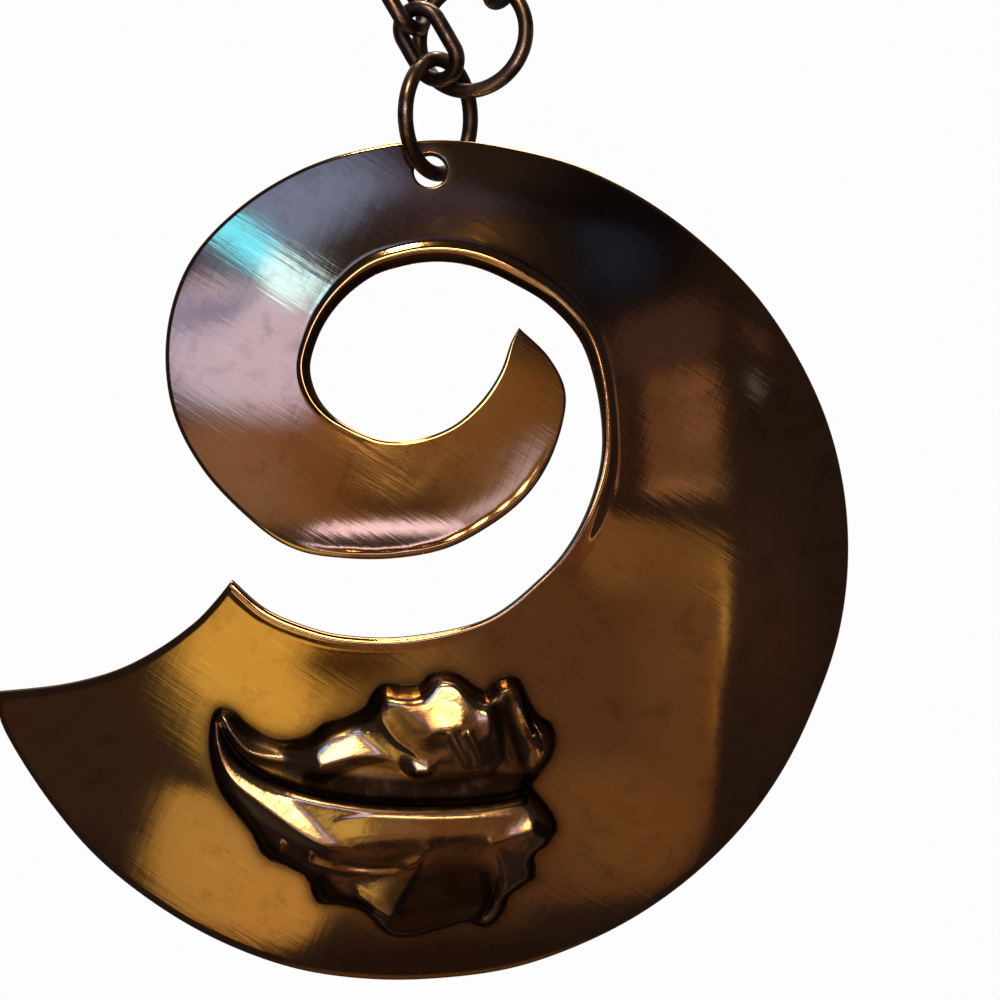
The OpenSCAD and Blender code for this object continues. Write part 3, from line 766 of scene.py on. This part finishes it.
def build_chain(finish_ring, finish_chain):
    """Two strands of links, each a quarter turn from the last, then the end ring, the clasp and the jump
    ring. A strand starts where its first link or ring hangs in the jump ring."""
    left_first = (LEFT_HOOK[2] - MEET_Z) / math.cos(STRAND) + LINK_HALF
    ring_first = (RIGHT_HOOK[2] - MEET_Z) / math.cos(STRAND) + RING_R
    right_first = ring_first + RING_R - RING_WIRE - LINK_WIRE - LINK_GAP + LINK_HALF
    left = link_path(left_first)
    right = link_path(right_first)
    bar = LINK_HALF - LINK_SIDE
    quarter = math.pi / 2
    for name, node, s, roll, seed in (
        ("left_strand", "chain_left", left, LEFT_ROLL + quarter * np.arange(len(left)), 5),
        ("right_strand", "chain_right", LOOP_LEN - right, RIGHT_ROLL + quarter * np.arange(len(right)), 6),
    ):
        pts, faces, marks = wire_loops(*loop_frame(s, roll), bar, LINK_SIDE, LINK_WIRE, LINK_STEPS, seed)
        make_piece(name, pts, faces, "chain", finish_chain, (node,), marks)
    end_ring = loop_frame(np.array([LOOP_LEN - ring_first]), np.array([END_RING_ROLL]))
    clasp = loop_frame(np.array([LOOP_LEN / 2]), np.array([(LEFT_ROLL + RIGHT_ROLL) / 2]))
    hung = RING_MID[None], RING_DIR[None], UP[None], np.cross(RING_DIR, UP)[None]
    for name, node, body, placed, reach, wire, steps, seed in (
        ("chain_end_ring", "end_ring", "chain", end_ring, RING_R, RING_WIRE, RING_STEPS, 7),
        ("clasp_ring", "clasp", "chain", clasp, CLASP_R, CLASP_WIRE, CLASP_STEPS, 8),
        ("hanging_ring", "jump_ring", "ring", hung, RING_R, RING_WIRE, RING_STEPS, 9),
    ):
        pts, faces, marks = wire_loops(*placed, 0, reach, wire, steps, seed)
        make_piece(name, pts, faces, body, finish_ring, (node,), marks)


# Finishes

def put(tree, kind, inputs=None, **settings):
    """Adds a node. Each input is a number, a colour or another node's socket."""
    node = tree.nodes.new(kind)
    for key, value in settings.items():
        setattr(node, key, value)
    for key, value in (inputs or {}).items():
        socket = node.inputs[key]
        if isinstance(value, bpy.types.NodeSocket):
            tree.links.new(value, socket)
        else:
            socket.default_value = value
    return node


def noise(tree, where, scale, detail, rough, warp=0.0):
    """Cloudy pattern with that many patches to the metre, and how much finer detail and warp it has."""
    inputs = {"Vector": where, "Scale": scale, "Detail": detail, "Roughness": rough, "Distortion": warp}
    return put(tree, "ShaderNodeTexNoise", inputs).outputs["Fac"]


def levels(tree, value, low, high, to_low=0.0, to_high=1.0):
    """Smooth step of the value, from to_low at low to to_high at high."""
    inputs = {"Value": value, "From Min": low, "From Max": high, "To Min": to_low, "To Max": to_high}
    return put(tree, "ShaderNodeMapRange", inputs, interpolation_type="SMOOTHSTEP").outputs["Result"]


def maths(tree, how, a, b=0.0, clamp=False):
    """One step of arithmetic on two values, kept between 0 and 1 where clamp is set."""
    node = put(tree, "ShaderNodeMath", {0: a, 1: b}, operation=how)
    node.use_clamp = clamp
    return node.outputs[0]


def blend(tree, share, a, b):
    """Colour a where the share is 0, colour b where it is 1."""
    return put(tree, "ShaderNodeMix", {0: share, 6: a, 7: b}, data_type="RGBA").outputs[2]


def stained(tree, colour, share, most, stain):
    """The colour blended with a stain by the share times the most that the stain covers."""
    return blend(tree, maths(tree, "MULTIPLY", share, most), colour, stain)


def rgb(r, g, b):
    """An opaque colour."""
    return (r, g, b, 1.0)


def roughened(tree, rough, share, most):
    """The roughness plus the share times the most that it adds."""
    return maths(tree, "ADD", rough, maths(tree, "MULTIPLY", share, most))


def stretched(tree, where, angle, size):
    """Coordinates turned in the plate's plane and stretched, for brushed lines."""
    turned = put(tree, "ShaderNodeMapping", {"Vector": where, "Rotation": (0.0, math.radians(angle), 0.0)})
    return put(tree, "ShaderNodeMapping", {"Vector": turned.outputs[0], "Scale": size}).outputs[0]


def new_finish(name):
    """A new metal: its material, its nodes, the piece's own coordinates and the shader."""
    material = bpy.data.materials.new(name)
    material.use_nodes = True
    tree = material.node_tree
    tree.nodes.clear()
    where = put(tree, "ShaderNodeTexCoord").outputs["Object"]
    shader = put(tree, "ShaderNodeBsdfPrincipled", {"Metallic": 1.0})
    end = put(tree, "ShaderNodeOutputMaterial")
    tree.links.new(shader.outputs[0], end.inputs[0])
    return material, tree, where, shader


def bumped(tree, height, distance, strength, normal=None):
    """The surface's normal, tilted by the slope of a height pattern that is so many metres deep."""
    node = put(tree, "ShaderNodeBump", {"Height": height, "Distance": distance, "Strength": strength})
    if normal is not None:
        tree.links.new(normal, node.inputs["Normal"])
    return node.outputs[0]


def mark(tree, name):
    """A number that the mesh carries at each of its points."""
    return put(tree, "ShaderNodeAttribute", attribute_name=name).outputs["Fac"]


def polished_sheet():
    """Copper alloy, polished and rubbed along one slant, darker where it tarnished and next to the leaf,
    with painted shade round the hole and on the wall into the eye.
    """
    material, tree, where, shader = new_finish("polished copper alloy sheet")
    broad = noise(tree, where, 70.0, 3.0, 0.5, 0.3)
    colour = blend(tree, levels(tree, broad, 0.35, 0.65), rgb(0.72, 0.395, 0.14), rgb(0.66, 0.41, 0.16))
    cloud = levels(tree, noise(tree, where, 170.0, 6.0, 0.62, 0.6), 0.56, 0.8)
    colour = stained(tree, colour, cloud, 0.5, rgb(0.36, 0.19, 0.09))
    blotch = levels(tree, noise(tree, where, 460.0, 5.0, 0.65, 0.4), 0.49, 0.78)
    colour = stained(tree, colour, blotch, 0.6, rgb(0.38, 0.2, 0.085))
    streak = noise(tree, stretched(tree, where, 57.0, (2600.0, 500.0, 160.0)), 1.0, 3.0, 0.6)
    streak_two = noise(tree, stretched(tree, where, -24.0, (1500.0, 400.0, 60.0)), 1.0, 2.0, 0.5)
    colour = blend(tree, levels(tree, streak, 0.56, 0.8, 0.0, 0.42), colour, rgb(0.86, 0.62, 0.33))
    specks = levels(tree, noise(tree, where, 2600.0, 2.0, 0.5), 0.74, 0.8)
    colour = stained(tree, colour, specks, 0.5, rgb(0.2, 0.1, 0.05))
    # The dark mark: patina, and painted shade round the hole and on the eye's wall
    patchy = levels(tree, noise(tree, where, 420.0, 4.0, 0.6), 0.2, 0.5, 0.75, 1.0)
    patina_and_painted_shade = maths(tree, "MULTIPLY", mark(tree, "patina_and_painted_shade"), patchy)
    colour = blend(tree, patina_and_painted_shade, colour, rgb(0.07, 0.042, 0.03))
    tree.links.new(colour, shader.inputs["Base Color"])
    rough = roughened(tree, levels(tree, broad, 0.3, 0.7, 0.07, 0.1), cloud, 0.05)
    rough = roughened(tree, rough, patina_and_painted_shade, 0.2)
    rough = maths(tree, "SUBTRACT", rough, maths(tree, "MULTIPLY", mark(tree, "rub_and_painted_highlight"), 0.03), True)
    tree.links.new(rough, shader.inputs["Roughness"])
    low = bumped(tree, noise(tree, where, 190.0, 2.0, 0.5), 0.00002, 0.5)
    scratch = bumped(tree, streak, 0.000012, 0.35, low)
    scratch = bumped(tree, streak_two, 0.000010, 0.25, scratch)
    grain = bumped(tree, noise(tree, where, 900.0, 5.0, 0.6), 0.000006, 0.2, scratch)
    tree.links.new(grain, shader.inputs["Normal"])
    return material


def cast_leaf_metal():
    """Cast copper alloy, brightened on its crests by polish and painted highlights, nearly black in its
    folds, on its steep rim and its down-facing flanks with patina and painted shade.
    """
    material, tree, where, shader = new_finish("cast copper alloy")
    broad = noise(tree, where, 260.0, 4.0, 0.55, 0.4)
    colour = blend(tree, levels(tree, broad, 0.35, 0.68), rgb(0.60, 0.31, 0.13), rgb(0.72, 0.46, 0.19))
    # Polish and painted highlights brighten the crests and facets
    colour = stained(tree, colour, mark(tree, "rub_and_painted_highlight"), 0.7, rgb(0.86, 0.62, 0.32))
    # Patina and painted shade darken the folds, the steep rim and the down-facing flanks
    patchy = levels(tree, noise(tree, where, 700.0, 4.0, 0.6), 0.15, 0.5, 0.8, 1.0)
    patina_and_painted_shade = maths(tree, "MULTIPLY", mark(tree, "patina_and_painted_shade"), patchy)
    colour = blend(tree, patina_and_painted_shade, colour, rgb(0.036, 0.02, 0.009))
    tree.links.new(colour, shader.inputs["Base Color"])
    rough = roughened(tree, levels(tree, broad, 0.3, 0.7, 0.16, 0.22), patina_and_painted_shade, 0.18)
    tree.links.new(rough, shader.inputs["Roughness"])
    low = bumped(tree, noise(tree, where, 650.0, 3.0, 0.55), 0.00006, 0.5)
    grain = bumped(tree, noise(tree, where, 2600.0, 3.0, 0.6), 0.00001, 0.4, low)
    tree.links.new(grain, shader.inputs["Normal"])
    return material


def antiqued_wire(name, bright, dark, spread):
    """Darkened wire, rubbed back to bright metal on the outside of each bend."""
    material, tree, where, shader = new_finish(name)
    broad = noise(tree, where, 420.0, 5.0, 0.6, 0.5)
    worn = maths(tree, "MULTIPLY", mark(tree, "rub_and_painted_highlight"), levels(tree, broad, 0.36, 0.62, 0.25, 1.0))
    colour = blend(tree, levels(tree, worn, spread, 1.0), dark, bright)
    pits = levels(tree, noise(tree, where, 1900.0, 3.0, 0.6), 0.62, 0.75, 0.0, 0.6)
    colour = blend(tree, pits, colour, rgb(0.05, 0.035, 0.03))
    tree.links.new(colour, shader.inputs["Base Color"])
    rough = levels(tree, worn, 0.0, 1.0, 0.42, 0.24)
    tree.links.new(rough, shader.inputs["Roughness"])
    low = bumped(tree, noise(tree, where, 900.0, 4.0, 0.6), 0.00004, 0.5)
    grain = bumped(tree, noise(tree, where, 5000.0, 2.0, 0.5), 0.00001, 0.4, low)
    tree.links.new(grain, shader.inputs["Normal"])
    return material


# The studio

# The dome's normal times this reach, plus this shift, is a spot on the drawing
MIRROR_REACH, MIRROR_SHIFT = 87.45, (-1.0, 0.0, 0.37)
# Cards round the pendant, placed by the spots of the dome that mirror them, on the photograph's pixels: the
# size of a pixel, and the one at the drawing's middle. Their places and light were set so that the
# plate seen from the front shows the reflections of the photograph. For each card its name, middle
# [right, down], half sizes, tilt in degrees, softness of the edge, squareness (2 is an oval, more is
# squarer) and light
CARD_UNIT, CARD_MIDDLE = 0.076744, (440, 560)
CARDS = [
    ("upper shade", 585, 235, 125, 95, 25, 0.4, 2.5, (0.005, 0.005, 0.014)),
    ("gold floor", 575, 700, 142, 185, 4, 0.07, 2.8, (0.12, 0.067, 0.053)),
    ("golden arch", 645, 556, 68, 36, -8, 0.14, 3, (0.2, 0.125, 0.08)),
    ("copper strip", 668, 690, 34, 120, 5, 0.5, 2, (0.155, 0.087, 0.06)),
    ("lower gold", 610, 820, 60, 50, -30, 0.5, 2, (0.175, 0.105, 0.065)),
    ("right haze", 765, 600, 40, 120, 0, 0.7, 2, (0.04, 0.028, 0.035)),
    ("gold line", 711, 608, 5, 60, 3, 0.5, 2, (0.85, 0.6, 0.28)),
    ("gold line's foot", 700, 700, 4, 60, 8, 0.6, 2, (0.4, 0.24, 0.12)),
    ("rectangle", 680, 430, 36, 62, 3, 0.09, 8, (0.155, 0.095, 0.09)),
    ("rectangle's light side", 696, 405, 18, 36, 3, 0.5, 3, (0.22, 0.14, 0.15)),
    ("rectangle's foot", 680, 482, 33, 8, -4, 0.3, 4, (0.29, 0.2, 0.18)),
    ("upper brown", 664, 335, 52, 30, 15, 0.12, 4, (0.068, 0.042, 0.06)),
    ("arc", 752, 338, 22, 4, -45, 0.5, 2, (0.11, 0.07, 0.09)),
    ("grey spot", 752, 384, 14, 5, -55, 0.5, 2, (0.16, 0.19, 0.42)),
    ("blue tint", 615, 265, 40, 26, 0, 0.5, 2, (0.012, 0.024, 0.09)),
    ("red tint", 430, 200, 75, 40, -10, 0.6, 2, (0.05, 0.05, 0.17)),
    ("dusk", 290, 205, 95, 42, 25, 0.55, 2, (0.24, 0.43, 1.6)),
    ("coil", 400, 438, 190, 92, 0, 0.25, 3, (0.205, 0.112, 0.06)),
    ("coil's left", 225, 460, 70, 45, -20, 0.5, 2, (0.28, 0.19, 0.2)),
    ("pink wall", 243, 345, 84, 66, -8, 0.25, 3, (0.78, 1.0, 3.0)),
    ("shade in the wall", 205, 308, 45, 12, 20, 0.6, 2, (0.3, 0.42, 1.6)),
    ("cyan window", 244, 240, 52, 18, -32, 0.3, 2.5, (0.3, 2.2, 6.6)),
    ("white window", 293, 275, 34, 18, -32, 0.4, 2.5, (1.25, 2.9, 7.4)),
    ("lamp", 412, 350, 80, 40, 46, 0.15, 2, (10.5, 7.9, 5.2)),
    ("crescent's shade", 400, 462, 62, 28, 0, 0.6, 2, (0.05, 0.02, 0.01)),
    ("low window", 390, 529, 84, 18, -3, 0.2, 3, (1.6, 1.65, 4.0)),
    ("low window's side", 505, 474, 52, 13, 44, 0.4, 2.5, (0.8, 0.85, 1.9)),
    ("upper brushed gold", 270, 660, 96, 80, 0, 0.3, 2.5, (0.82, 0.66, 0.23)),
    ("copper floor", 450, 1120, 200, 90, 0, 0.3, 2.5, (0.1, 0.056, 0.037)),
    ("copper under the leaf", 425, 800, 115, 115, 0, 0.4, 2.5, (0.19, 0.11, 0.07)),
    ("gold's side", 385, 655, 70, 60, 0, 0.6, 2, (0.28, 0.18, 0.1)),
    ("shade over the leaf", 352, 661, 52, 20, -6, 0.45, 2, (0.055, 0.03, 0.017)),
    ("left dark", 92, 740, 122, 96, -18, 0.16, 2.6, (0.042, 0.03, 0.036)),
    ("lower brushed gold", 238, 868, 98, 72, -22, 0.13, 2.5, (0.6, 0.43, 0.19)),
    ("foot dark", 455, 988, 135, 62, 3, 0.35, 2, (0.02, 0.014, 0.018)),
]
# Radius of the floor, and its height
FLOOR_R, FLOOR_Z = 1500.0, -400.0


def vector_maths(tree, how, a, b=(0.0, 0.0, 0.0), out="Vector"):
    """One step of arithmetic on two vectors."""
    return put(tree, "ShaderNodeVectorMath", {0: a, 1: b}, operation=how).outputs[out]


def card_share(tree, flat, name, right, down, wide, high, tilt, soft, square):
    """How much a spot on the dome lies under a card: 1 inside and 0 outside, with a soft edge. The distance
    is the root of the summed powers of the offsets over the half sizes: for a power of 2, an oval."""
    middle = ((right - CARD_MIDDLE[0]) * CARD_UNIT, 0.0, (CARD_MIDDLE[1] - down) * CARD_UNIT)
    size = (wide * CARD_UNIT, 1.0, high * CARD_UNIT)
    turn = (0.0, math.radians(-tilt), 0.0)
    inputs = {"Vector": flat, "Location": middle, "Scale": size, "Rotation": turn}
    local = put(tree, "ShaderNodeMapping", inputs, vector_type="TEXTURE", label=name)
    if square == 2:
        far = vector_maths(tree, "LENGTH", local.outputs[0], out="Value")
    else:
        parts = put(tree, "ShaderNodeSeparateXYZ", {0: local.outputs[0]}).outputs
        offsets = [maths(tree, "ABSOLUTE", parts[k]) for k in (0, 2)]
        powers = [maths(tree, "POWER", offset, float(square)) for offset in offsets]
        far = maths(tree, "POWER", maths(tree, "ADD", *powers), 1.0 / square)
    return levels(tree, far, 1 - soft, 1 + soft, 1.0, 0.0)


def make_room():
    """A dim room with a cool window on the left and warm light from below, behind a plain pale backdrop.
    The direction half way between a ray and the front is the normal of the spot on the dome that mirrors
    it, and each card lights the rays of its own spots."""
    world = bpy.data.worlds.new("room")
    bpy.context.scene.world = world
    world.use_nodes = True
    tree = world.node_tree
    tree.nodes.clear()
    way = put(tree, "ShaderNodeTexCoord").outputs["Generated"]
    half = vector_maths(tree, "NORMALIZE", vector_maths(tree, "ADD", way, (0.0, -1.0, 0.0)))
    leaned = {"Vector": half, "Angle": -LEAN}
    half = put(tree, "ShaderNodeVectorRotate", leaned, rotation_type="X_AXIS").outputs[0]
    spot = vector_maths(tree, "MULTIPLY", half, (MIRROR_REACH,) * 3)
    spot = vector_maths(tree, "ADD", spot, MIRROR_SHIFT)
    flat = vector_maths(tree, "MULTIPLY", spot, (1.0, 0.0, 1.0))
    light = rgb(0.022, 0.018, 0.028)
    for *card, glow in CARDS:
        light = blend(tree, card_share(tree, flat, *card), light, rgb(*glow))
    # Beyond what the dome mirrors, a soft grey studio: brighter behind and overhead
    parts = put(tree, "ShaderNodeSeparateXYZ", {0: way})
    behind = levels(tree, parts.outputs[1], -0.1, 0.6)
    high_up = levels(tree, parts.outputs[2], -0.3, 0.9, 0.25, 1.0)
    grey = blend(tree, high_up, rgb(0.03, 0.03, 0.035), rgb(0.16, 0.16, 0.17))
    light = blend(tree, behind, light, grey)
    room = put(tree, "ShaderNodeBackground", {"Color": light, "Strength": 1.0})
    paper = put(tree, "ShaderNodeBackground", {"Color": rgb(0.98, 0.98, 0.98), "Strength": 1.0})
    seen = put(tree, "ShaderNodeLightPath").outputs["Is Camera Ray"]
    mix = put(tree, "ShaderNodeMixShader", {0: seen, 1: room.outputs[0], 2: paper.outputs[0]})
    end = put(tree, "ShaderNodeOutputWorld")
    tree.links.new(mix.outputs[0], end.inputs[0])


def make_lamp(name, place, aim, size, watts, colour):
    """An oval area lamp at a place in millimetres, its size in metres, turned to face the aim."""
    lamp = bpy.data.lights.new(name, "AREA")
    lamp.shape = "ELLIPSE"
    lamp.size, lamp.size_y = size
    lamp.energy = watts
    lamp.color = colour
    thing = bpy.data.objects.new(name, lamp)
    thing.location = np.array(place) / MM_IN_M
    way = np.array(aim, float) - np.array(place, float)
    thing.rotation_euler = Vector(way).to_track_quat("-Z", "Y").to_euler()
    bpy.context.scene.collection.objects.link(thing)


def make_floor():
    """A round pale floor far below, out of the picture: rings of points at even steps from its middle."""
    steps, turns = 40, 96
    r = np.linspace(0, 1, steps)[:, None]
    a = np.linspace(0, 2 * math.pi, turns, endpoint=False)[None]
    x, y = FLOOR_R * r * np.cos(a), FLOOR_R * r * np.sin(a)
    z = np.full_like(x, FLOOR_Z)
    points = np.stack([x, y, z], -1).reshape(-1, 3)
    faces = grid_faces(steps, turns, wrap_columns=True)
    mesh = bpy.data.meshes.new("floor")
    mesh.from_pydata((points / MM_IN_M).tolist(), [], faces.tolist())
    mesh.validate()
    mesh.update()
    material = bpy.data.materials.new("pale floor")
    material.use_nodes = True
    shader = material.node_tree.nodes["Principled BSDF"]
    shader.inputs["Base Color"].default_value = rgb(0.86, 0.86, 0.85)
    shader.inputs["Roughness"].default_value = 0.7
    mesh.materials.append(material)
    floor = bpy.data.objects.new("floor", mesh)
    floor.visible_glossy = False
    bpy.context.scene.collection.objects.link(floor)


sheet_finish = polished_sheet()
leaf_finish = cast_leaf_metal()
ring_finish = antiqued_wire("antiqued ring wire", rgb(0.62, 0.42, 0.23), rgb(0.16, 0.1, 0.06), 0.25)
chain_finish = antiqued_wire("antiqued chain wire", rgb(0.55, 0.39, 0.24), rgb(0.13, 0.09, 0.065), 0.3)
build_plate(sheet_finish)
build_leaf(leaf_finish)
build_chain(ring_finish, chain_finish)
make_room()
make_floor()
make_lamp("lamp", (-60, -260, 120), (0, 0, -215), (0.06, 0.06), 0.5, (1.0, 0.82, 0.55))
make_lamp("top light", (100, 500, 700), (0, 0, -250), (0.8, 0.8), 6.0, (1.0, 0.98, 0.95))
bpy.context.scene.view_settings.view_transform = "Standard"
